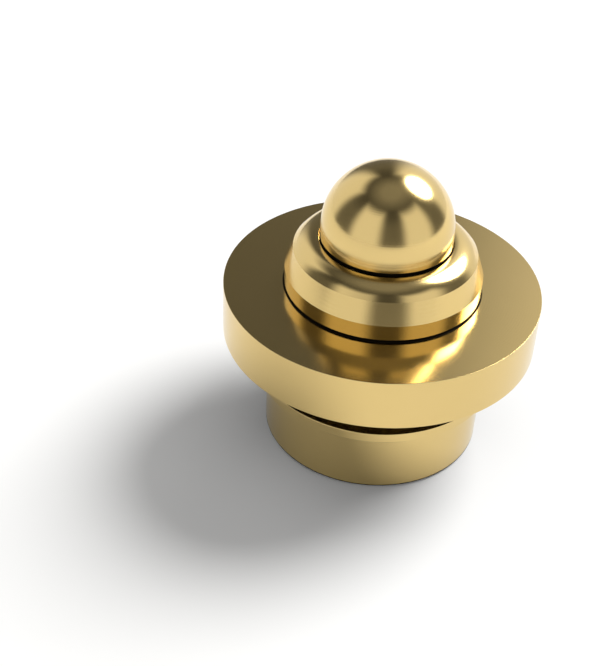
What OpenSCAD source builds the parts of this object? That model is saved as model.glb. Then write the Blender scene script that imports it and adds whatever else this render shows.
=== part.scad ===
// Spring-loaded contact pin (pogo pin) with a mounting groove, in millimetres.
// The pin stands on its tail, its axis is +Z, and the origin is the centre of the tail's end face.
// The plunger is drawn fully out, held by the retaining collar and pushed up by the coil spring.

/* [Tail and groove] */
// Diameter of the soldered tail
tail_d = 3.54; // [3.3:0.02:4.2]
// Height of the tail, from its end face to the retaining lip
tail_h = 1.09; // [0.9:0.01:2]
// Lead-in chamfer around the tail's end
tail_chamfer = 0.04; // [0.02:0.01:0.15]
// How far the retaining lip stands out from the tail, all round
lip_overhang = 0.17; // [0.1:0.01:0.5]
// Thickness of the retaining lip
lip_t = 0.19; // [0.1:0.01:0.5]
// Chamfer that breaks the lip's lower edge
lip_chamfer = 0.03; // [0.01:0.01:0.06]
// Height of the groove that holds the carrier board
groove_w = 0.63; // [0.4:0.01:1.6]
// Wall between the spring bore and the floor of the groove
neck_wall = 0.33; // [0.2:0.01:0.4]

/* [Flange and spigot] */
// Diameter of the mounting flange
flange_d = 5; // [4.4:0.05:7]
// Thickness of the mounting flange
flange_t = 0.84; // [0.5:0.01:1.5]
// Edge break on both rims of the flange
flange_edge = 0.01; // [0.005:0.005:0.05]
// Height of the spigot that carries the collar
spigot_h = 0.55; // [0.45:0.01:0.62]
// Wall of the spigot around the spring bore
spigot_wall = 0.23; // [0.15:0.01:0.3]
// Lead-in chamfer at the mouth of the spring bore
bore_chamfer = 0.04; // [0.02:0.01:0.08]

/* [Retaining collar] */
// Wall of the collar's skirt around the spigot
collar_wall = 0.15; // [0.1:0.01:0.3]
// Hairline left open between the flange and the collar
collar_gap = 0.03; // [0.02:0.005:0.1]
// Height of the upright skirt
skirt_h = 0.265; // [0.15:0.005:0.4]
// Height of the conical band above the skirt
band_h = 0.345; // [0.25:0.005:0.5]
// Lean of the conical band from upright
band_angle = 17; // [10:1:22]
// Height of the bevel between the band and the rounded nose
bevel_h = 0.06; // [0.03:0.005:0.1]
// Lean of the bevel from upright
bevel_angle = 42; // [35:1:50]
// Width of the flat ring around the mouth
mouth_flat = 0.02; // [0.01:0.005:0.06]

/* [Plunger] */
// Diameter of the domed contact tip
plunger_d = 2.06; // [1.8:0.02:2.2]
// Upright wall of the tip below its dome
tip_wall_h = 0.18; // [0.1:0.01:0.5]
// Height of the tip's lower edge above the collar
tip_gap = 0.025; // [0.015:0.005:0.06]
// Depth of the turned relief below the tip
relief_depth = 0.05; // [0.03:0.01:0.1]
// Height of the turned relief
relief_h = 0.07; // [0.04:0.01:0.12]
// How far the retained shoulder stands out from the guide land
shoulder_step = 0.12; // [0.06:0.01:0.2]
// Height of the retained shoulder
shoulder_h = 0.53; // [0.3:0.01:0.6]
// Edge break on the retained shoulder
shoulder_edge = 0.03; // [0.01:0.01:0.05]
// Height of the pilot that centres the spring
pilot_h = 0.3; // [0.15:0.01:0.4]
// Radial clearance of the sliding fits
slide_gap = 0.02; // [0.01:0.005:0.05]
// Play between the shoulder and the collar's seat, plunger fully out
seat_gap = 0.02; // [0.01:0.005:0.05]
// Travel of the plunger
stroke = 1; // [0.6:0.05:1.1]

/* [Spring] */
// Diameter of the spring wire
wire_d = 0.18; // [0.14:0.01:0.19]
// Number of turns, with the closed turn at each end
turns = 6; // [5:1:6]
// Radial clearance between the spring and its bore
spring_gap = 0.13; // [0.06:0.01:0.15]
// Radial clearance between the spring and the pilot
pilot_gap = 0.08; // [0.04:0.01:0.15]
// Length kept in reserve when the plunger is fully in
spring_reserve = 0.14; // [0.05:0.01:0.2]

/* [Hidden] */

round_fn = 96;
wire_sides = 12;
steps_per_turn = 32;
closing_pitch = 1.06 * wire_d;

// Radii, from the plunger outwards
plunger_r = plunger_d / 2;
shoulder_r = plunger_r + shoulder_step;
mouth_r = plunger_r + slide_gap;
bore_r = shoulder_r + slide_gap;
neck_r = bore_r + neck_wall;
spigot_r = bore_r + spigot_wall;
collar_r = spigot_r + collar_wall;
tail_r = tail_d / 2;
lip_r = tail_r + lip_overhang;
flange_r = flange_d / 2;

// Heights, from the tail's end face upwards
lip_z = tail_h;
neck_z = lip_z + lip_t;
flange_z = neck_z + groove_w;
deck_z = flange_z + flange_t;
spigot_z = deck_z + spigot_h;
skirt_z = deck_z + collar_gap;
band_z = skirt_z + skirt_h;
bevel_z = band_z + band_h;
nose_z = bevel_z + bevel_h;

// The collar's nose: an arc that runs from the bevel to the flat ring
bevel_r = collar_r - band_h * tan(band_angle);
nose_r = bevel_r - bevel_h * tan(bevel_angle);
flat_r = mouth_r + mouth_flat;
nose_arc = (nose_r - flat_r) / cos(bevel_angle);
nose_centre_z = nose_z - nose_arc * sin(bevel_angle);
collar_top_z = nose_centre_z + nose_arc;

// The plunger, fully out
tip_z = collar_top_z + tip_gap;
dome_z = tip_z + tip_wall_h;
relief_z = tip_z - relief_h;
shoulder_top_z = spigot_z - seat_gap;
shoulder_z = shoulder_top_z - shoulder_h;
pilot_z = shoulder_z - pilot_h;

// The spring, between the floor of the bore and the shoulder
wire_r = wire_d / 2;
coil_r = bore_r - spring_gap - wire_r;
pilot_r = coil_r - wire_r - pilot_gap;
solid_length = (turns + 1) * wire_d;
spring_length = solid_length + stroke + spring_reserve;
floor_z = shoulder_z - spring_length;
active_pitch = (spring_length - wire_d - 2 * closing_pitch) / (turns - 2);

// Height of the wire's centre after a number of turns: closed, then open, then closed
function coil_z(turn) =
    turn < 1 ? turn * closing_pitch :
    turn > turns - 1 ? closing_pitch + (turns - 2) * active_pitch + (turn - turns + 1) * closing_pitch :
    closing_pitch + (turn - 1) * active_pitch;

// A point on the wire's surface, at one step along the coil and one side around the wire
function wire_point(step, side) =
    let (turn = step / steps_per_turn, along = 360 * turn, around = 360 * side / wire_sides)
    let (reach = coil_r + wire_r * cos(around))
    [reach * cos(along), reach * sin(along),
     floor_z + wire_r + coil_z(turn) + wire_r * sin(around)];

// A solid of revolution with a straight-sided profile
module turned(points) {
    rotate_extrude($fn = round_fn) polygon(points);
}

// Tail, lip, neck, flange and spigot, turned in one piece around the blind spring bore
module barrel() {
    color("goldenrod") turned([
        [0, 0],
        [tail_r - tail_chamfer, 0],
        [tail_r, tail_chamfer],
        [tail_r, lip_z],
        [lip_r - lip_chamfer, lip_z],
        [lip_r, lip_z + lip_chamfer],
        [lip_r, neck_z],
        [neck_r, neck_z],
        [neck_r, flange_z],
        [flange_r - flange_edge, flange_z],
        [flange_r, flange_z + flange_edge],
        [flange_r, deck_z - flange_edge],
        [flange_r - flange_edge, deck_z],
        [spigot_r, deck_z],
        [spigot_r, spigot_z],
        [bore_r + bore_chamfer, spigot_z],
        [bore_r, spigot_z - bore_chamfer],
        [bore_r, floor_z],
        [0, floor_z],
    ]);
}

// Pressed on the spigot: it guides the tip in its mouth and stops the plunger's shoulder
module retaining_collar() {
    color("gold") rotate_extrude($fn = round_fn) union() {
        polygon([
            [spigot_r, skirt_z],
            [collar_r, skirt_z],
            [collar_r, band_z],
            [bevel_r, bevel_z],
            [nose_r, nose_z],
            [flat_r, collar_top_z],
            [mouth_r, collar_top_z],
            [mouth_r, spigot_z],
            [spigot_r, spigot_z],
        ]);
        intersection() {
            translate([flat_r, nose_centre_z]) circle(nose_arc, $fn = round_fn);
            polygon([
                [mouth_r, spigot_z],
                [nose_r, nose_z],
                [nose_r, collar_top_z + nose_arc],
                [mouth_r, collar_top_z + nose_arc],
            ]);
        }
    }
}

// Domed tip, relief, guide land, retained shoulder and spring pilot, turned in one piece
module plunger() {
    color("khaki") rotate_extrude($fn = round_fn) union() {
        polygon([
            [0, pilot_z],
            [pilot_r - shoulder_edge, pilot_z],
            [pilot_r, pilot_z + shoulder_edge],
            [pilot_r, shoulder_z],
            [shoulder_r - shoulder_edge, shoulder_z],
            [shoulder_r, shoulder_z + shoulder_edge],
            [shoulder_r, shoulder_top_z - shoulder_edge],
            [shoulder_r - shoulder_edge, shoulder_top_z],
            [plunger_r, shoulder_top_z],
            [plunger_r, relief_z],
            [plunger_r - relief_depth, relief_z],
            [plunger_r - relief_depth, tip_z],
            [plunger_r, tip_z],
            [plunger_r, dome_z],
            [0, dome_z],
        ]);
        intersection() {
            translate([0, dome_z]) circle(plunger_r, $fn = round_fn);
            translate([0, dome_z]) square(plunger_r);
        }
    }
}

// Compression spring with a closed turn at each end
module coil_spring() {
    steps = turns * steps_per_turn;
    points = [for (step = [0 : steps], side = [0 : wire_sides - 1]) wire_point(step, side)];
    walls = [
        for (step = [0 : steps - 1], side = [0 : wire_sides - 1])
        let (next = (side + 1) % wire_sides, near = step * wire_sides, far = near + wire_sides)
        [near + side, far + side, far + next, near + next]
    ];
    start_cap = [for (side = [0 : wire_sides - 1]) side];
    end_cap = [for (side = [wire_sides - 1 : -1 : 0]) steps * wire_sides + side];
    color("silver") polyhedron(points, concat(walls, [start_cap, end_cap]), convexity = 12);
}

barrel();
retaining_collar();
plunger();
coil_spring();
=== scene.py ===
"""Visual model of a spring-loaded contact pin: barrel, retaining collar, plunger and coil spring."""

import logging
import math
from dataclasses import dataclass, field
from enum import Enum

import bpy
from mathutils import Matrix, Vector


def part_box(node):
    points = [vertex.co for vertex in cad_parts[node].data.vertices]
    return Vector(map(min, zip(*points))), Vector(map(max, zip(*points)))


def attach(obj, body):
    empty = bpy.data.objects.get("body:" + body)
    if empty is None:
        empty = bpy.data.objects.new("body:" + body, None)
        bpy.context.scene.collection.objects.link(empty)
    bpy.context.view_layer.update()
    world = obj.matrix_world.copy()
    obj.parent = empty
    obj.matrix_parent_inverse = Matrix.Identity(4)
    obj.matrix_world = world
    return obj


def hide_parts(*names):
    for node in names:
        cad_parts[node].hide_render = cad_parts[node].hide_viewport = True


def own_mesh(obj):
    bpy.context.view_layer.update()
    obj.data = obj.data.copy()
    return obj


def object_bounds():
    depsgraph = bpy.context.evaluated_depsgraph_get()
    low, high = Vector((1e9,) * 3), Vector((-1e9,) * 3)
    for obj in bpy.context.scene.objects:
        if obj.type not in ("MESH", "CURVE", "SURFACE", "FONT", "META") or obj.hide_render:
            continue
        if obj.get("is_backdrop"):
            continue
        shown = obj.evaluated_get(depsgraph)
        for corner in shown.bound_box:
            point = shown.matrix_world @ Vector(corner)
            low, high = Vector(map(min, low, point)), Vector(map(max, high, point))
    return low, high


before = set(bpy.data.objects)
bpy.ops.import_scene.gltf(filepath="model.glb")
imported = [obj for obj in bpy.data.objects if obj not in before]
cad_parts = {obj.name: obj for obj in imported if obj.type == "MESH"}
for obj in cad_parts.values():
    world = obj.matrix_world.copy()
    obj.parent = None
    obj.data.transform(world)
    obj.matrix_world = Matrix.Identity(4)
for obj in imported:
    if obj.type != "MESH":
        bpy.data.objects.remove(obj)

LOG = logging.getLogger("contact_pin")
MM = 0.001
WELD_DISTANCE = 1e-8


class Wall(Enum):
    """The finish of one wall of a turned piece."""

    PLATED = 0
    # Walls of this kind are painted dark as shade: gaps, hidden walls, chamfers and contact strips.
    PAINTED_SHADE = 1


class Body(Enum):
    """The moving bodies that pieces ride on."""

    BARREL = "barrel"
    PLUNGER = "plunger"


@dataclass(frozen=True)
class Corner:
    """A corner of a turned outline, in millimetres.

    Attributes:
        radius: Distance from the axis.
        height: Height along the axis.
        ease: Radius of the rounding that breaks this corner.
        wall: Finish of the wall that leaves this corner: gold plating, or dark painted shade.
    """

    radius: float
    height: float
    ease: float = 0.0
    wall: Wall = Wall.PLATED


def arc(centre: tuple[float, float], radius: float, start: float, end: float, steps: int) -> list[Corner]:
    """Lays corners along an arc.

    Args:
        centre: Radius and height of the arc's centre.
        radius: Radius of the arc.
        start: First angle in degrees, from the outward direction.
        end: Last angle in degrees.
        steps: Number of chords.

    Returns:
        The corners from start to end, both included.
    """
    turns = [math.radians(start + (end - start) * step / steps) for step in range(steps + 1)]
    return [Corner(centre[0] + radius * math.cos(t), centre[1] + radius * math.sin(t)) for t in turns]


@dataclass
class Outline:
    """Half section of a turned piece, from one end of its axis to the other or closed in a ring.

    Attributes:
        corners: The corners in order, with the metal on the left.
        closed: True for a ring, whose last corner runs back to its first.
        hold: Length of the short strip that keeps shading flat beside a rounding.
        ease_steps: Chords in the rounding of a corner.
    """

    corners: list[Corner]
    closed: bool = False
    hold: float = 0.004
    ease_steps: int = 8

    def rounded(self) -> list[Corner]:
        """Replaces every eased corner with a short arc.

        Returns:
            The corners and the points on the arcs.
        """
        out: list[Corner] = []
        count = len(self.corners)
        for i, here in enumerate(self.corners):
            if here.ease <= 0:
                out.append(here)
                continue
            point = Vector((here.radius, here.height))
            before, after = self.corners[i - 1], self.corners[(i + 1) % count]
            back = (Vector((before.radius, before.height)) - point).normalized()
            on = (Vector((after.radius, after.height)) - point).normalized()
            half = back.angle(on) / 2
            reach = here.ease / math.tan(half)
            centre = point + (back + on).normalized() * here.ease / math.sin(half)
            first, last = point + back * reach - centre, point + on * reach - centre
            turn = first.angle_signed(last)
            for step in range(self.ease_steps + 1):
                spoke = first.copy()
                spoke.rotate(Matrix.Rotation(-turn * step / self.ease_steps, 2))
                spot = centre + spoke
                out.append(Corner(spot.x, spot.y, 0.0, here.wall))
        return out

    def stations(self) -> list[Corner]:
        """Adds the holding strips at both ends of each long straight wall.

        Returns:
            Every station of the outline, in order.
        """
        points = self.rounded()
        if self.closed:
            points.append(points[0])
        out: list[Corner] = []
        for here, after in zip(points, points[1:]):
            out.append(here)
            length = math.hypot(after.radius - here.radius, after.height - here.height)
            if length > 5 * self.hold:
                for share in (self.hold / length, 1 - self.hold / length):
                    out.append(Corner(here.radius + (after.radius - here.radius) * share,
                                      here.height + (after.height - here.height) * share, 0.0, here.wall))
        out.append(points[-1])
        return out

    def mesh(self, name: str, base: float) -> bpy.types.Mesh:
        """Writes the outline as a chain of edges in the XZ plane, in metres.

        Args:
            name: Name of the mesh.
            base: Height of the piece's lowest point, in metres.

        Returns:
            The mesh, with each wall's finish stored on the station that starts it.
        """
        stations = self.stations()
        mesh = bpy.data.meshes.new(name)
        mesh.from_pydata([(s.radius * MM, 0.0, base + s.height * MM) for s in stations],
                         [(i, i + 1) for i in range(len(stations) - 1)], [])
        wall = mesh.attributes.new("wall", "INT", "POINT")
        wall.data.foreach_set("value", [s.wall.value for s in stations])
        return mesh


class Tree:
    """Small helper that lays out a geometry or shader node tree."""

    def __init__(self, tree: bpy.types.NodeTree) -> None:
        """Keeps the tree that nodes are added to."""
        self.tree = tree

    def node(self, kind: str, inputs: dict | None = None, **settings: object) -> bpy.types.Node:
        """Adds a node.

        Args:
            kind: Type name of the node.
            inputs: Values or sockets for its inputs, by name or index.
            settings: Properties to set on the node.

        Returns:
            The new node.
        """
        made = self.tree.nodes.new(kind)
        for name, value in settings.items():
            setattr(made, name, value)
        for key, value in (inputs or {}).items():
            if isinstance(value, bpy.types.NodeSocket):
                self.tree.links.new(value, made.inputs[key])
            else:
                made.inputs[key].default_value = value
        return made

    def math(self, operation: str, *values: object) -> bpy.types.NodeSocket:
        """Adds a maths node and returns its output."""
        return self.node("ShaderNodeMath", dict(enumerate(values)), operation=operation).outputs[0]

    def shape(self, kind: str, inputs: dict, **settings: object) -> bpy.types.NodeSocket:
        """Adds a node that changes geometry and returns its geometry."""
        return self.node(kind, inputs, **settings).outputs["Geometry"]

    def blend(self, share: bpy.types.NodeSocket, low: tuple, high: tuple) -> bpy.types.NodeSocket:
        """Mixes two linear colours and returns the result."""
        return self.node("ShaderNodeMix", {"Factor": share, 6: (*low, 1.0), 7: (*high, 1.0)},
                         data_type="RGBA").outputs[2]

    def span(self, value: bpy.types.NodeSocket, low: float, high: float) -> bpy.types.NodeSocket:
        """Stretches a value from 0..1 to a range and returns the result."""
        return self.node("ShaderNodeMapRange", {"Value": value, "To Min": low, "To Max": high}).outputs[0]

    def bump(self, height: bpy.types.NodeSocket, strength: float, distance: float) -> bpy.types.NodeSocket:
        """Turns a height into a bumped normal and returns it."""
        return self.node("ShaderNodeBump", {"Strength": strength, "Distance": distance,
                                            "Height": height}).outputs["Normal"]


def new_material(name: str) -> tuple[bpy.types.Material, Tree, bpy.types.NodeSocket]:
    """Makes an empty node material.

    Args:
        name: Name of the material.

    Returns:
        The material, its tree, and the socket of its Object coordinates.
    """
    made = bpy.data.materials.new(name)
    made.use_nodes = True
    made.node_tree.nodes.clear()
    t = Tree(made.node_tree)
    return made, t, t.node("ShaderNodeTexCoord").outputs["Object"]


def group_input(tree: bpy.types.NodeTree, name: str, kind: str, value: object = None) -> None:
    """Adds a named input to a node group.

    Args:
        tree: The group.
        name: Name of the input.
        kind: Socket type.
        value: Default value.
    """
    made = tree.interface.new_socket(name=name, in_out="INPUT", socket_type=kind)
    if value is not None:
        made.default_value = value


def baked(obj: bpy.types.Object, tree: bpy.types.NodeTree, values: dict[str, object]) -> bpy.types.Object:
    """Runs a geometry tree on an object and keeps its result as a plain mesh.

    Args:
        obj: The object that carries the tree's input geometry.
        tree: The geometry node group.
        values: Values of the group's inputs, by socket name.

    Returns:
        The same object, with the modifier gone.
    """
    modifier = obj.modifiers.new("shape", "NODES")
    modifier.node_group = tree
    keys = {s.name: s.identifier for s in tree.interface.items_tree
            if s.item_type == "SOCKET" and s.in_out == "INPUT"}
    for name, value in values.items():
        modifier[keys[name]] = value
    bpy.context.view_layer.update()
    evaluated = obj.evaluated_get(bpy.context.evaluated_depsgraph_get())
    mesh = bpy.data.meshes.new_from_object(evaluated)
    obj.modifiers.clear()
    obj.data = mesh
    mesh.name = obj.name
    return obj


def turning_tree() -> bpy.types.NodeTree:
    """Builds the tree that turns an outline round the Z axis.

    Returns:
        A geometry node group with named inputs.
    """
    group = bpy.data.node_groups.new("turned_solid", "GeometryNodeTree")
    group_input(group, "Outline", "NodeSocketGeometry")
    group_input(group, "Segments", "NodeSocketInt", 256)
    group_input(group, "Crease Angle", "NodeSocketFloat", math.radians(14))
    group_input(group, "Weld Distance", "NodeSocketFloat", WELD_DISTANCE)
    group_input(group, "Plating", "NodeSocketMaterial")
    group_input(group, "Painted Shade", "NodeSocketMaterial")
    group.interface.new_socket(name="Solid", in_out="OUTPUT", socket_type="NodeSocketGeometry")
    t = Tree(group)
    given = t.node("NodeGroupInput").outputs
    count = t.node("GeometryNodeAttributeDomainSize", {"Geometry": given["Outline"]}).outputs["Point Count"]
    rings = t.math("ADD", given["Segments"], 1.0)
    sheet = t.node("GeometryNodeMeshGrid",
                   {"Size X": 1.0, "Size Y": 1.0, "Vertices X": count, "Vertices Y": rings}).outputs["Mesh"]
    place = t.node("ShaderNodeSeparateXYZ", {0: t.node("GeometryNodeInputPosition").outputs[0]}).outputs
    last = t.math("SUBTRACT", count, 1.0)
    along = t.math("MULTIPLY", t.math("ADD", place["X"], 0.5), last)
    turn = t.math("MULTIPLY", t.math("ADD", place["Y"], 0.5), 2 * math.pi)

    wall = t.node("GeometryNodeInputNamedAttribute", {"Name": "wall"}, data_type="INT").outputs["Attribute"]
    of_wall = t.node("GeometryNodeSampleIndex", {"Geometry": given["Outline"], "Value": wall,
                                                 "Index": t.math("FLOOR", along)}, data_type="INT")
    marked = t.shape("GeometryNodeStoreNamedAttribute",
                     {"Geometry": sheet, "Name": "wall", "Value": of_wall.outputs[0]},
                     data_type="INT", domain="FACE")

    spot = t.node("GeometryNodeInputPosition").outputs[0]
    station = t.node("GeometryNodeSampleIndex", {"Geometry": given["Outline"], "Value": spot,
                                                 "Index": t.math("ROUND", along)}, data_type="FLOAT_VECTOR")
    half = t.node("ShaderNodeSeparateXYZ", {0: station.outputs[0]}).outputs
    turned = t.node("ShaderNodeCombineXYZ", {
        "X": t.math("MULTIPLY", half["X"], t.math("COSINE", turn)),
        "Y": t.math("MULTIPLY", half["X"], t.math("SINE", turn)),
        "Z": half["Z"],
    }).outputs[0]
    solid = t.shape("GeometryNodeSetPosition", {"Geometry": marked, "Position": turned})
    solid = t.shape("GeometryNodeMergeByDistance",
                    {"Geometry": solid, "Distance": given["Weld Distance"]})
    angle = t.node("GeometryNodeInputMeshEdgeAngle").outputs["Unsigned Angle"]
    crease = t.node("FunctionNodeCompare", {0: angle, 1: given["Crease Angle"]},
                    data_type="FLOAT", operation="GREATER_THAN").outputs["Result"]
    solid = t.shape("GeometryNodeStoreNamedAttribute",
                    {"Geometry": solid, "Name": "sharp_edge", "Value": crease},
                    data_type="BOOLEAN", domain="EDGE")
    solid = t.shape("GeometryNodeSetShadeSmooth", {"Geometry": solid, "Shade Smooth": True})
    solid = t.shape("GeometryNodeRealizeInstances", {"Geometry": solid})
    solid = t.shape("GeometryNodeSetMaterial", {"Geometry": solid, "Material": given["Plating"]})
    # Walls marked for shade take the dark material, which paints shade on them.
    kept = t.node("GeometryNodeInputNamedAttribute", {"Name": "wall"}, data_type="INT").outputs["Attribute"]
    shaded_walls = t.node("FunctionNodeCompare", {2: kept, 3: Wall.PAINTED_SHADE.value}, data_type="INT",
                    operation="EQUAL").outputs["Result"]
    solid = t.shape("GeometryNodeSetMaterial", {"Geometry": solid, "Selection": shaded_walls,
                                                "Material": given["Painted Shade"]})
    group.links.new(solid, t.node("NodeGroupOutput").inputs["Solid"])
    return group


def coiling_tree() -> bpy.types.NodeTree:
    """Builds the tree that winds a spring with a closed turn at each end.

    Returns:
        A geometry node group with named inputs.
    """
    group = bpy.data.node_groups.new("coil_spring", "GeometryNodeTree")
    group_input(group, "Start", "NodeSocketGeometry")
    group_input(group, "Coil Radius", "NodeSocketFloat", 0.95 * MM)
    group_input(group, "Wire Radius", "NodeSocketFloat", 0.09 * MM)
    group_input(group, "Base Height", "NodeSocketFloat", 0.0)
    group_input(group, "Turns", "NodeSocketInt", 6)
    group_input(group, "Closed Pitch", "NodeSocketFloat", 0.19 * MM)
    group_input(group, "Open Pitch", "NodeSocketFloat", 0.46 * MM)
    group_input(group, "Steps per Turn", "NodeSocketInt", 64)
    group_input(group, "Wire Sides", "NodeSocketInt", 20)
    group_input(group, "Crease Angle", "NodeSocketFloat", math.radians(50))
    group_input(group, "Wire Finish", "NodeSocketMaterial")
    group.interface.new_socket(name="Spring", in_out="OUTPUT", socket_type="NodeSocketGeometry")
    t = Tree(group)
    given = t.node("NodeGroupInput").outputs
    count = t.math("ADD", t.math("MULTIPLY", given["Turns"], given["Steps per Turn"]), 1.0)
    line = t.node("GeometryNodeMeshLine", {"Count": count}).outputs["Mesh"]
    curve = t.node("GeometryNodeMeshToCurve", {"Mesh": line}).outputs["Curve"]
    turn = t.math("DIVIDE", t.node("GeometryNodeInputIndex").outputs[0], given["Steps per Turn"])
    angle = t.math("MULTIPLY", turn, 2 * math.pi)
    lower = t.math("MINIMUM", turn, 1.0)
    upper = t.math("MAXIMUM", t.math("SUBTRACT", turn, t.math("SUBTRACT", given["Turns"], 1.0)), 0.0)
    closed = t.math("MULTIPLY", t.math("ADD", lower, upper), given["Closed Pitch"])
    middle = t.math("SUBTRACT", turn, t.math("ADD", lower, upper))
    rise = t.math("ADD", closed, t.math("MULTIPLY", middle, given["Open Pitch"]))
    height = t.math("ADD", t.math("ADD", given["Base Height"], given["Wire Radius"]), rise)
    place = t.node("ShaderNodeCombineXYZ", {
        "X": t.math("MULTIPLY", given["Coil Radius"], t.math("COSINE", angle)),
        "Y": t.math("MULTIPLY", given["Coil Radius"], t.math("SINE", angle)),
        "Z": height,
    }).outputs[0]
    coil = t.shape("GeometryNodeSetPosition", {"Geometry": curve, "Position": place})
    coil = t.node("GeometryNodeSetCurveNormal", {"Curve": coil}, mode="Z_UP").outputs["Curve"]
    section = t.node("GeometryNodeCurvePrimitiveCircle",
                     {"Resolution": given["Wire Sides"], "Radius": given["Wire Radius"]}).outputs["Curve"]
    wire = t.node("GeometryNodeCurveToMesh",
                  {"Curve": coil, "Profile Curve": section, "Fill Caps": True}).outputs["Mesh"]
    bend = t.node("GeometryNodeInputMeshEdgeAngle").outputs["Unsigned Angle"]
    crease = t.node("FunctionNodeCompare", {0: bend, 1: given["Crease Angle"]},
                    data_type="FLOAT", operation="GREATER_THAN").outputs["Result"]
    wire = t.shape("GeometryNodeStoreNamedAttribute",
                   {"Geometry": wire, "Name": "sharp_edge", "Value": crease},
                   data_type="BOOLEAN", domain="EDGE")
    wire = t.shape("GeometryNodeSetShadeSmooth", {"Geometry": wire, "Shade Smooth": True})
    wire = t.shape("GeometryNodeRealizeInstances", {"Geometry": wire})
    wire = t.shape("GeometryNodeSetMaterial", {"Geometry": wire, "Material": given["Wire Finish"]})
    group.links.new(wire, t.node("NodeGroupOutput").inputs["Spring"])
    return group


@dataclass(frozen=True)
class GoldPlate:
    """Soft-polished gold plating over a fine turned surface.

    Attributes:
        name: Name of the material.
        tone: Colour of the gold, linear.
        shade: The same gold where the plating is a little thinner.
        roughness: Middle roughness.
        spread: How far the roughness wanders either way.
        cloud_scale: Scale of the slow changes in tone and polish, per metre.
        grain_scale: Scale of the fine grain, per metre.
        mark_pitch: Distance between turning marks, in metres.
        mark_depth: Strength of the turning marks and the grain.
        relief: Height of the turning marks, in metres.
    """

    name: str = "gold_plate"
    tone: tuple[float, float, float] = (0.709, 0.527, 0.224)
    shade: tuple[float, float, float] = (0.681, 0.507, 0.206)
    roughness: float = 0.16
    spread: float = 0.015
    cloud_scale: float = 900.0
    grain_scale: float = 26000.0
    mark_pitch: float = 0.00004
    mark_depth: float = 0.02
    relief: float = 0.000002

    def material(self) -> bpy.types.Material:
        """Builds the node material.

        Returns:
            The material.
        """
        made, t, place = new_material(self.name)
        cloud = t.node("ShaderNodeTexNoise", {"Vector": place, "Scale": self.cloud_scale, "Detail": 3.0,
                                              "Roughness": 0.55}).outputs["Fac"]
        grain = t.node("ShaderNodeTexNoise", {"Vector": place, "Scale": self.grain_scale,
                                              "Detail": 2.0}).outputs["Fac"]
        colour = t.blend(cloud, self.shade, self.tone)
        polish = t.span(cloud, self.roughness - self.spread, self.roughness + self.spread)
        parts = t.node("ShaderNodeSeparateXYZ", {0: place}).outputs
        radius = t.math("SQRT", t.math("ADD", t.math("MULTIPLY", parts["X"], parts["X"]),
                                       t.math("MULTIPLY", parts["Y"], parts["Y"])))
        track = t.math("ADD", radius, parts["Z"])
        marks = t.math("SINE", t.math("MULTIPLY", track, 2 * math.pi / self.mark_pitch))
        relief = t.math("ADD", t.math("MULTIPLY", marks, 0.5), grain)
        bump = t.bump(relief, self.mark_depth, self.relief)
        shader = t.node("ShaderNodeBsdfPrincipled", {"Base Color": colour, "Metallic": 1.0,
                                                     "Roughness": polish,
                                                     "Normal": bump})
        t.node("ShaderNodeOutputMaterial", {"Surface": shader.outputs[0]})
        return made


@dataclass(frozen=True)
class PaintedShade:
    """Dark painted shade on hairline gaps, the flange's underside, and the chamfers and strips beside them.

    Attributes:
        name: Name of the material.
        tone: Colour of the painted shade, linear.
        shade: Colour of the darker patches, linear.
        roughness: Roughness.
        gloss: Strength of the reflection at right angles.
        dust_scale: Scale of the dust patches, per metre.
        dust_depth: Strength of the dust's relief.
        relief: Height of the dust, in metres.
    """

    name: str = "painted_shade"
    tone: tuple[float, float, float] = (0.02, 0.0135, 0.0055)
    shade: tuple[float, float, float] = (0.008, 0.0055, 0.0025)
    roughness: float = 0.7
    gloss: float = 0.06
    dust_scale: float = 4000.0
    dust_depth: float = 0.3
    relief: float = 0.000004

    def material(self) -> bpy.types.Material:
        """Builds the node material.

        Returns:
            The material.
        """
        made, t, place = new_material(self.name)
        dust = t.node("ShaderNodeTexNoise", {"Vector": place, "Scale": self.dust_scale,
                                             "Detail": 4.0}).outputs["Fac"]
        colour = t.blend(dust, self.shade, self.tone)
        bump = t.bump(dust, self.dust_depth, self.relief)
        shader = t.node("ShaderNodeBsdfPrincipled", {"Base Color": colour, "Metallic": 0.0,
                                                     "Roughness": self.roughness,
                                                     "Specular IOR Level": self.gloss,
                                                     "Normal": bump})
        t.node("ShaderNodeOutputMaterial", {"Surface": shader.outputs[0]})
        return made


@dataclass(frozen=True)
class SpringWire:
    """Drawn spring steel, with fine marks along the wire.

    Attributes:
        name: Name of the material.
        tone: Colour, linear.
        shade: Colour in the draw marks, linear.
        roughness: Roughness in the middle of the range.
        mark_scale: Scale of the draw marks along X, Y and Z, per metre.
        mark_depth: Strength of the draw marks.
        spread: Change in roughness at each end of the range.
        relief: Height of the draw marks, in metres.
    """

    name: str = "spring_wire"
    tone: tuple[float, float, float] = (0.56, 0.55, 0.52)
    shade: tuple[float, float, float] = (0.36, 0.35, 0.33)
    roughness: float = 0.32
    mark_scale: tuple[float, float, float] = (3000.0, 3000.0, 30000.0)
    mark_depth: float = 0.2
    spread: tuple[float, float] = (-0.06, 0.1)
    relief: float = 0.000003

    def material(self) -> bpy.types.Material:
        """Builds the node material.

        Returns:
            The material.
        """
        made, t, place = new_material(self.name)
        stretch = t.node("ShaderNodeMapping", {"Vector": place, "Scale": self.mark_scale}).outputs[0]
        marks = t.node("ShaderNodeTexNoise", {"Vector": stretch, "Scale": 1.0, "Detail": 5.0}).outputs["Fac"]
        colour = t.blend(marks, self.shade, self.tone)
        polish = t.span(marks, self.roughness + self.spread[0], self.roughness + self.spread[1])
        bump = t.bump(marks, self.mark_depth, self.relief)
        shader = t.node("ShaderNodeBsdfPrincipled", {"Base Color": colour, "Metallic": 1.0,
                                                     "Roughness": polish,
                                                     "Normal": bump})
        t.node("ShaderNodeOutputMaterial", {"Surface": shader.outputs[0]})
        return made


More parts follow.
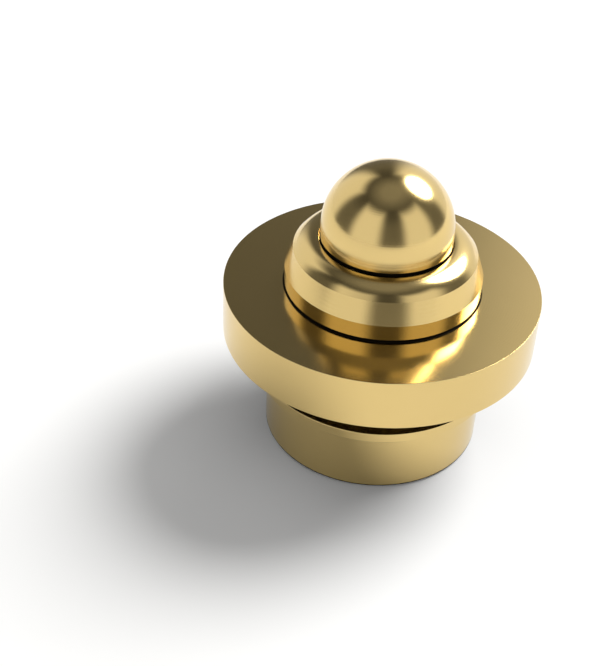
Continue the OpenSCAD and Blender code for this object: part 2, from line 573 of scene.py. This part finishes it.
@dataclass
class Workshop:
    """What the pieces share.

    Attributes:
        segments: Faces round a turned piece.
        crease_angle: Angle past which an edge is shaded sharp.
        turning: The tree that turns outlines.
        coiling: The tree that winds springs.
        shade_material: The dark material that paints shade on gaps, hidden walls, chamfers and foot strips.
    """

    segments: int = 256
    crease_angle: float = math.radians(14)
    turning: bpy.types.NodeTree = field(default_factory=turning_tree)
    coiling: bpy.types.NodeTree = field(default_factory=coiling_tree)
    shade_material: bpy.types.Material = field(default_factory=lambda: PaintedShade().material())

    def turn(self, name: str, outline: Outline, base: float,
             plating: bpy.types.Material) -> bpy.types.Object:
        """Turns an outline into a solid piece.

        Args:
            name: Name of the piece.
            outline: Half section of the piece.
            base: Height of the outline's zero, in metres.
            plating: Material of the plated walls.

        Returns:
            The piece, as a plain mesh at the origin.
        """
        obj = bpy.data.objects.new(name, outline.mesh(name + "_outline", base))
        bpy.context.scene.collection.objects.link(obj)
        return baked(obj, self.turning, {
            "Segments": self.segments, "Crease Angle": self.crease_angle, "Weld Distance": WELD_DISTANCE,
            "Plating": plating, "Painted Shade": self.shade_material})


def settle(piece: bpy.types.Object, body: Body, slot: str, *nodes: str) -> None:
    """Hands a finished piece to the frame.

    Args:
        piece: The piece.
        body: The body it rides on.
        slot: Name of a material slot; not used.
        nodes: The solids that it stands for.
    """
    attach(piece, body.value)
    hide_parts(*nodes)
    piece.data.calc_loop_triangles()
    LOG.info("%s rides on %s, %d triangles, stands for %s",
             piece.name, body.value, len(piece.data.loop_triangles), ", ".join(nodes))


@dataclass
class Barrel:
    """Tail, lip, neck, flange and spigot, turned in one piece round a blind bore. Sizes in millimetres."""

    tail_radius: float = 1.77
    tail_height: float = 1.09
    tail_chamfer: float = 0.04
    lip_radius: float = 1.94
    lip_thickness: float = 0.19
    lip_chamfer: float = 0.03
    lip_ease: float = 0.01
    groove_width: float = 0.63
    neck_radius: float = 1.5
    flange_radius: float = 2.5
    flange_thickness: float = 0.84
    flange_ease: float = 0.004
    spigot_radius: float = 1.4
    spigot_height: float = 0.55
    bore_radius: float = 1.17
    bore_chamfer: float = 0.04
    bore_floor: float = 0.35
    # Outer radius of a dark ring of painted shade on the flange top, round the collar's foot.
    shade_ring_radius: float = 1.57
    # Height of the dark strip of painted contact shadow at the tail's foot.
    foot_shade: float = 0.014
    plate: GoldPlate = GoldPlate(name="gold_plate_barrel")

    def outline(self) -> Outline:
        """Draws the half section.

        Returns:
            The outline, from the tail's end face round to the floor of the bore.
        """
        lip = self.tail_height
        neck = lip + self.lip_thickness
        flange = neck + self.groove_width
        deck = flange + self.flange_thickness
        top = deck + self.spigot_height
        # Walls marked for shade are painted dark: painted contact shadow at the tail's foot and under the
        # lip, painted shade under the flange, on the deck round the collar and on the hidden spigot.
        return Outline([
            Corner(0, 0),
            Corner(self.tail_radius - self.tail_chamfer, 0, 0.0, Wall.PAINTED_SHADE),
            Corner(self.tail_radius, self.tail_chamfer, 0.0, Wall.PAINTED_SHADE),
            Corner(self.tail_radius, self.tail_chamfer + self.foot_shade),
            Corner(self.tail_radius, lip),
            Corner(self.lip_radius - self.lip_chamfer, lip, 0.0, Wall.PAINTED_SHADE),
            Corner(self.lip_radius, lip + self.lip_chamfer),
            Corner(self.lip_radius, neck, self.lip_ease),
            Corner(self.neck_radius, neck),
            Corner(self.neck_radius, flange, 0.0, Wall.PAINTED_SHADE),
            Corner(self.flange_radius, flange, self.flange_ease),
            Corner(self.flange_radius, deck, self.flange_ease),
            Corner(self.shade_ring_radius, deck, 0.0, Wall.PAINTED_SHADE),
            Corner(self.spigot_radius, deck, 0.0, Wall.PAINTED_SHADE),
            Corner(self.spigot_radius, top, 0.0, Wall.PAINTED_SHADE),
            Corner(self.bore_radius + self.bore_chamfer, top),
            Corner(self.bore_radius, top - self.bore_chamfer),
            Corner(self.bore_radius, self.bore_floor),
            Corner(0, self.bore_floor),
        ])

    def build(self, shop: Workshop) -> bpy.types.Object:
        """Turns the barrel and hands it to the frame."""
        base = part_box("barrel")[0][2]
        piece = shop.turn("barrel_turned", self.outline(), base, self.plate.material())
        settle(piece, Body.BARREL, "barrel_gold", "barrel")
        return piece


@dataclass
class RetainingCollar:
    """Ring pressed on the spigot, with a conical band, a bevel and a rounded nose. Sizes in millimetres."""

    seat_radius: float = 1.4
    skirt_radius: float = 1.55
    skirt_height: float = 0.265
    band_height: float = 0.345
    band_angle: float = 19.0
    bevel_height: float = 0.06
    bevel_angle: float = 42.0
    mouth_radius: float = 1.05
    mouth_flat: float = 0.02
    seat_height: float = 0.52
    nose_steps: int = 24
    # Height of the dark strip of painted contact shadow at the skirt's foot.
    foot_shade: float = 0.014
    plate: GoldPlate = GoldPlate(name="gold_plate_collar")

    def outline(self) -> Outline:
        """Draws the half section.

        Returns:
            The closed outline, from the foot of the skirt round to the spigot's seat.
        """
        band = self.skirt_height
        bevel = band + self.band_height
        nose = bevel + self.bevel_height
        bevel_radius = self.skirt_radius - self.band_height * math.tan(math.radians(self.band_angle))
        nose_radius = bevel_radius - self.bevel_height * math.tan(math.radians(self.bevel_angle))
        flat_radius = self.mouth_radius + self.mouth_flat
        sweep = (nose_radius - flat_radius) / math.cos(math.radians(self.bevel_angle))
        centre = nose - sweep * math.sin(math.radians(self.bevel_angle))
        crown = arc((flat_radius, centre), sweep, self.bevel_angle, 90.0, self.nose_steps)
        # Walls marked for shade are painted dark: a strip of painted contact shadow at the skirt's foot, and
        # painted shade on the underside and the hidden seat.
        return Outline([
            Corner(self.seat_radius, 0, 0.0, Wall.PAINTED_SHADE),
            Corner(self.skirt_radius, 0, 0.0, Wall.PAINTED_SHADE),
            Corner(self.skirt_radius, self.foot_shade),
            Corner(self.skirt_radius, band),
            Corner(bevel_radius, bevel),
            *crown,
            Corner(self.mouth_radius, centre + sweep),
            Corner(self.mouth_radius, self.seat_height, 0.0, Wall.PAINTED_SHADE),
            Corner(self.seat_radius, self.seat_height, 0.0, Wall.PAINTED_SHADE),
        ], closed=True)

    def build(self, shop: Workshop) -> bpy.types.Object:
        """Turns the collar and hands it to the frame."""
        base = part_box("retaining_collar")[0][2]
        piece = shop.turn("retaining_collar_turned", self.outline(), base, self.plate.material())
        settle(piece, Body.BARREL, "collar_gold", "retaining_collar")
        return piece


@dataclass
class Plunger:
    """Domed tip, relief, guide land, shoulder and spring pilot, in one piece. Sizes in millimetres."""

    pilot_radius: float = 0.78
    pilot_height: float = 0.3
    shoulder_radius: float = 1.15
    shoulder_height: float = 0.53
    shoulder_ease: float = 0.03
    tip_radius: float = 1.03
    land_height: float = 0.2677
    relief_depth: float = 0.05
    relief_height: float = 0.07
    tip_wall_height: float = 0.18
    dome_steps: int = 48
    # Height of the dark strip of painted shadow at the tip's lower edge.
    foot_shade: float = 0.012
    plate: GoldPlate = GoldPlate(name="gold_plate_plunger")

    def outline(self) -> Outline:
        """Draws the half section.

        Returns:
            The outline, from the pilot's end face to the top of the dome.
        """
        shoulder = self.pilot_height
        land = shoulder + self.shoulder_height
        relief = land + self.land_height
        tip = relief + self.relief_height
        dome = tip + self.tip_wall_height
        waist = self.tip_radius - self.relief_depth
        # Walls marked for shade are painted dark: painted shade in the relief groove and a strip of painted
        # shadow at the tip's lower edge, by the collar's mouth.
        return Outline([
            Corner(0, 0),
            Corner(self.pilot_radius, 0, self.shoulder_ease),
            Corner(self.pilot_radius, shoulder),
            Corner(self.shoulder_radius, shoulder, self.shoulder_ease),
            Corner(self.shoulder_radius, land, self.shoulder_ease),
            Corner(self.tip_radius, land),
            Corner(self.tip_radius, relief, 0.0, Wall.PAINTED_SHADE),
            Corner(waist, relief, 0.0, Wall.PAINTED_SHADE),
            Corner(waist, tip, 0.0, Wall.PAINTED_SHADE),
            Corner(self.tip_radius, tip, 0.006, Wall.PAINTED_SHADE),
            Corner(self.tip_radius, tip + self.foot_shade),
            *arc((0.0, dome), self.tip_radius, 0.0, 90.0, self.dome_steps),
        ])

    def build(self, shop: Workshop) -> bpy.types.Object:
        """Turns the plunger and hands it to the frame."""
        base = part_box("plunger")[0][2]
        piece = shop.turn("plunger_turned", self.outline(), base, self.plate.material())
        settle(piece, Body.PLUNGER, "plunger_gold", "plunger")
        return piece


@dataclass
class CoilSpring:
    """Compression spring with a closed turn at each end. Sizes in millimetres."""

    coil_radius: float = 0.95
    wire_radius: float = 0.09
    turns: int = 6
    closing: float = 1.06
    steps_per_turn: int = 64
    wire_sides: int = 20
    joint: str = "plunger_slide"
    wire: SpringWire = SpringWire()

    def build(self, shop: Workshop) -> bpy.types.Object:
        """Winds the spring between the bore's floor and the shoulder.

        Args:
            shop: The shared trees and finishes.

        Returns:
            The spring.
        """
        low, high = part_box("coil_spring")
        length = high[2] - low[2]
        closed = 2 * self.wire_radius * self.closing * MM
        opened = (length - 2 * self.wire_radius * MM - 2 * closed) / (self.turns - 2)
        piece = bpy.data.objects.new("coil_spring_wound", bpy.data.meshes.new("coil_spring_start"))
        bpy.context.scene.collection.objects.link(piece)
        baked(piece, shop.coiling, {
            "Coil Radius": self.coil_radius * MM, "Wire Radius": self.wire_radius * MM,
            "Base Height": low[2],
            "Turns": self.turns, "Closed Pitch": closed, "Open Pitch": opened,
            "Steps per Turn": self.steps_per_turn, "Wire Sides": self.wire_sides,
            "Crease Angle": math.radians(50), "Wire Finish": self.wire.material()})
        settle(piece, Body.BARREL, "spring_steel", "coil_spring")
        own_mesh(piece)
        return piece


@dataclass(frozen=True)
class Post:
    """An upright of the light tent.

    Attributes:
        azimuth: Direction of its middle, in degrees, from the front towards the right.
        half: Half of its width, in degrees.
    """

    azimuth: float
    half: float


@dataclass
class LightTent:
    """Dim scrim, open between uprights. It is hidden from the camera but not from reflections or the table.

    Attributes:
        radius: Radius of the tent, in metres.
        posts: The uprights between the openings.
        post_soft: Softness of a post's edge, in degrees.
        top: Elevation of the openings' upper edge, in degrees.
        top_rise: How much higher that edge is at the front than at the back, halved, in degrees.
        top_soft: Softness of that edge, in degrees.
        levels: Brightness of the scrim at elevations, as (degrees, value).
        rows: Rings of faces from pole to pole.
        columns: Faces round the tent.
    """

    radius: float = 0.4
    posts: tuple[Post, ...] = (
        Post(5.4, 21.2), Post(-87.5, 20.3), Post(95.3, 18.2), Post(186.7, 17.5))
    post_soft: float = 9.2
    top: float = 49.7
    top_rise: float = 0.9
    top_soft: float = 8.9
    levels: tuple[tuple[float, float], ...] = (
        (0.0, 0.18), (30.0, 0.16), (45.0, 0.09), (56.0, 0.07),
        (64.0, 0.16), (78.0, 0.30), (90.0, 0.30))
    rows: int = 24
    columns: int = 48

    def material(self) -> bpy.types.Material:
        """Builds the scrim: clear in the openings, dim grey elsewhere.

        Returns:
            The material.
        """
        made, t, place = new_material("light_tent")
        made.cycles.emission_sampling = "NONE"
        way = t.node("ShaderNodeVectorMath", {0: place}, operation="NORMALIZE").outputs[0]
        part = t.node("ShaderNodeSeparateXYZ", {0: way}).outputs
        rise = t.math("DEGREES", t.math("ARCSINE", part["Z"]))
        turn = t.math("ARCTAN2", part["X"], t.math("MULTIPLY", part["Y"], -1.0))
        bearing = t.math("DEGREES", turn)
        edge = t.math("ADD", t.math("MULTIPLY", t.math("COSINE", turn), self.top_rise), self.top)
        above = t.math("SUBTRACT", rise, edge)
        cover = t.node("ShaderNodeMapRange", {
            "Value": above, "From Min": -self.top_soft, "From Max": self.top_soft},
            interpolation_type="SMOOTHSTEP").outputs[0]
        for post in self.posts:
            ahead = t.math("SUBTRACT", bearing, post.azimuth - 180.0)
            off = t.math("SUBTRACT", t.math("FLOORED_MODULO", ahead, 360.0), 180.0)
            upright = t.node("ShaderNodeMapRange", {
                "Value": t.math("ABSOLUTE", off), "From Min": post.half - self.post_soft,
                "From Max": post.half + self.post_soft, "To Min": 1.0, "To Max": 0.0},
                interpolation_type="SMOOTHSTEP").outputs[0]
            cover = t.math("MAXIMUM", cover, upright)
        ramp = t.node("ShaderNodeValToRGB", {"Fac": t.math("DIVIDE", rise, 90.0)})
        ends = ramp.color_ramp.elements
        for i, (at, value) in enumerate(self.levels):
            stop = ends[i] if i < 2 else ends.new(at / 90.0)
            stop.position = at / 90.0
            stop.color = (value, value, value, 1.0)
        glow = t.node("ShaderNodeEmission", {"Color": ramp.outputs[0]}).outputs[0]
        clear = t.node("ShaderNodeBsdfTransparent").outputs[0]
        scrim = t.node("ShaderNodeMixShader", {0: cover, 1: clear, 2: glow}).outputs[0]
        t.node("ShaderNodeOutputMaterial", {"Surface": scrim})
        return made

    def build(self) -> bpy.types.Object:
        """Makes the tent.

        Returns:
            The tent's sphere.
        """
        mesh = bpy.data.meshes.new("light_tent")
        rows, columns = self.rows, self.columns
        points = [(0.0, 0.0, -self.radius)]
        for row in range(1, rows):
            tilt = math.pi * (row / rows - 0.5)
            reach = self.radius * math.cos(tilt)
            for column in range(columns):
                turn = 2 * math.pi * column / columns
                points.append((reach * math.cos(turn), reach * math.sin(turn), self.radius * math.sin(tilt)))
        points.append((0.0, 0.0, self.radius))
        top = 1 + (rows - 2) * columns
        faces: list[tuple[int, ...]] = []
        for column in range(columns):
            after = (column + 1) % columns
            faces.append((0, 1 + after, 1 + column))
            for low in range(1, top, columns):
                high = low + columns
                faces.append((low + column, low + after, high + after, high + column))
            faces.append((top + column, top + after, len(points) - 1))
        mesh.from_pydata(points, [], faces)
        tent = bpy.data.objects.new("light_tent", mesh)
        tent.data.materials.append(self.material())
        tent.visible_camera = False
        bpy.context.scene.collection.objects.link(tent)
        tent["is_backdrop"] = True
        return tent


@dataclass
class Studio:
    """Table, light tent, key light and camera.

    Attributes:
        table_radius: Radius of the table, in metres.
        table_sides: Corners of the table's rim.
        table_tone: Colour of the table, linear.
        key_azimuth: Direction of the key light, in degrees, from the front towards the right.
        key_elevation: Height of the key light, in degrees.
        lamp_distance: Distance of the lamps, in metres.
        key_size: Width and height of the key light, in degrees as the part sees it.
        key_radiance: Brightness of the key light's face.
        fill_size: Width and height of the overhead fill, in degrees as the part sees it.
        fill_radiance: Brightness of the fill's face.
        camera_place: Place of the camera, in metres.
        camera_pitch: How far the camera looks down, in degrees.
        camera_roll: Roll of the camera, in degrees.
        lens: Focal length for a 36 mm sensor.
    """

    table_radius: float = 0.064
    table_sides: int = 96
    table_tone: tuple[float, float, float] = (0.96, 0.955, 0.94)
    key_azimuth: float = 126.9
    key_elevation: float = 43.3
    lamp_distance: float = 0.3
    key_size: tuple[float, float] = (34.2, 36.0)
    key_radiance: float = 11.5
    fill_size: tuple[float, float] = (70.0, 70.0)
    fill_radiance: float = 0.08
    camera_place: tuple[float, float, float] = (-0.001287, -0.016249, 0.014099)
    camera_pitch: float = 37.42
    camera_roll: float = 2.72
    lens: float = 67.98
    tent: LightTent = field(default_factory=LightTent)

    def table(self) -> None:
        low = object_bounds()[0][2]
        mesh = bpy.data.meshes.new("table")
        turns = [2 * math.pi * side / self.table_sides for side in range(self.table_sides)]
        rim = [(self.table_radius * math.cos(turn), self.table_radius * math.sin(turn), low)
               for turn in turns]
        mesh.from_pydata(rim, [], [tuple(range(self.table_sides))])
        table = bpy.data.objects.new("table", mesh)
        made = bpy.data.materials.new("table_top")
        made.use_nodes = True
        shader = made.node_tree.nodes["Principled BSDF"]
        shader.inputs["Base Color"].default_value = (*self.table_tone, 1.0)
        shader.inputs["Roughness"].default_value = 1.0
        shader.inputs["Specular IOR Level"].default_value = 0.0
        table.data.materials.append(made)
        bpy.context.scene.collection.objects.link(table)
        table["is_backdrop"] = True

    def world(self) -> None:
        """Sets the plain white room."""
        world = bpy.data.worlds.new("white_room")
        world.use_nodes = True
        background = world.node_tree.nodes["Background"]
        background.inputs["Color"].default_value = (1.0, 1.0, 1.0, 1.0)
        background.inputs["Strength"].default_value = 1.0
        bpy.context.scene.world = world

    def lamp(self, name: str, azimuth: float, elevation: float, size: tuple[float, float], radiance: float,
             mirrored: bool) -> None:
        """Hangs a round soft lamp that faces the part.

        Args:
            name: Name of the lamp.
            azimuth: Its direction, in degrees, from the front towards the right.
            elevation: Its height, in degrees.
            size: Its width and height, in degrees as the part sees it.
            radiance: Brightness of its face.
            mirrored: Whether polished metal mirrors it.
        """
        a, e = math.radians(azimuth), math.radians(elevation)
        way = Vector((math.sin(a) * math.cos(e), -math.cos(a) * math.cos(e), math.sin(e)))
        light = bpy.data.lights.new(name, "AREA")
        light.shape = "ELLIPSE"
        light.size, light.size_y = (2 * self.lamp_distance * math.tan(math.radians(angle / 2))
                                    for angle in size)
        area = math.pi * light.size * light.size_y / 4
        light.energy = radiance * math.pi * area
        lamp = bpy.data.objects.new(name, light)
        lamp.location = way * self.lamp_distance
        lamp.rotation_euler = (-way).to_track_quat("-Z", "Y").to_euler()
        lamp.visible_camera = False
        lamp.visible_glossy = mirrored
        bpy.context.scene.collection.objects.link(lamp)

    def camera(self) -> None:
        """Places the camera."""
        data = bpy.data.cameras.new("camera")
        data.sensor_width = 36.0
        data.lens = self.lens
        data.clip_start = 0.001
        data.clip_end = 5.0
        camera = bpy.data.objects.new("camera", data)
        pitch, roll = math.radians(self.camera_pitch), math.radians(self.camera_roll)
        ahead = Vector((0.0, math.cos(pitch), -math.sin(pitch)))
        over = Vector((0.0, math.sin(pitch), math.cos(pitch)))
        aside = Vector((1.0, 0.0, 0.0))
        right = aside * math.cos(roll) + over * math.sin(roll)
        up = over * math.cos(roll) - aside * math.sin(roll)
        turn = Matrix((right, up, -ahead)).transposed().to_4x4()
        camera.matrix_world = Matrix.Translation(self.camera_place) @ turn
        bpy.context.scene.collection.objects.link(camera)
        bpy.context.scene.camera = camera

    def build(self) -> None:
        """Sets up the whole studio."""
        self.table()
        self.world()
        self.tent.build()
        self.lamp("key", self.key_azimuth, self.key_elevation, self.key_size, self.key_radiance, True)
        self.lamp("fill", 0.0, 90.0, self.fill_size, self.fill_radiance, False)
        self.camera()
        bpy.context.scene.view_settings.view_transform = "Standard"
        bpy.context.scene.cycles.caustics_reflective = False
        LOG.info("studio: table, tent, two lamps and camera")


def main() -> None:
    """Builds the pin and the studio."""
    logging.basicConfig(level=logging.INFO, format="%(name)s: %(message)s")
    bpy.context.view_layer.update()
    shop = Workshop()
    for part in (Barrel(), RetainingCollar(), Plunger(), CoilSpring()):
        part.build(shop)
    Studio().build()


if __name__ == "__main__":
    main()
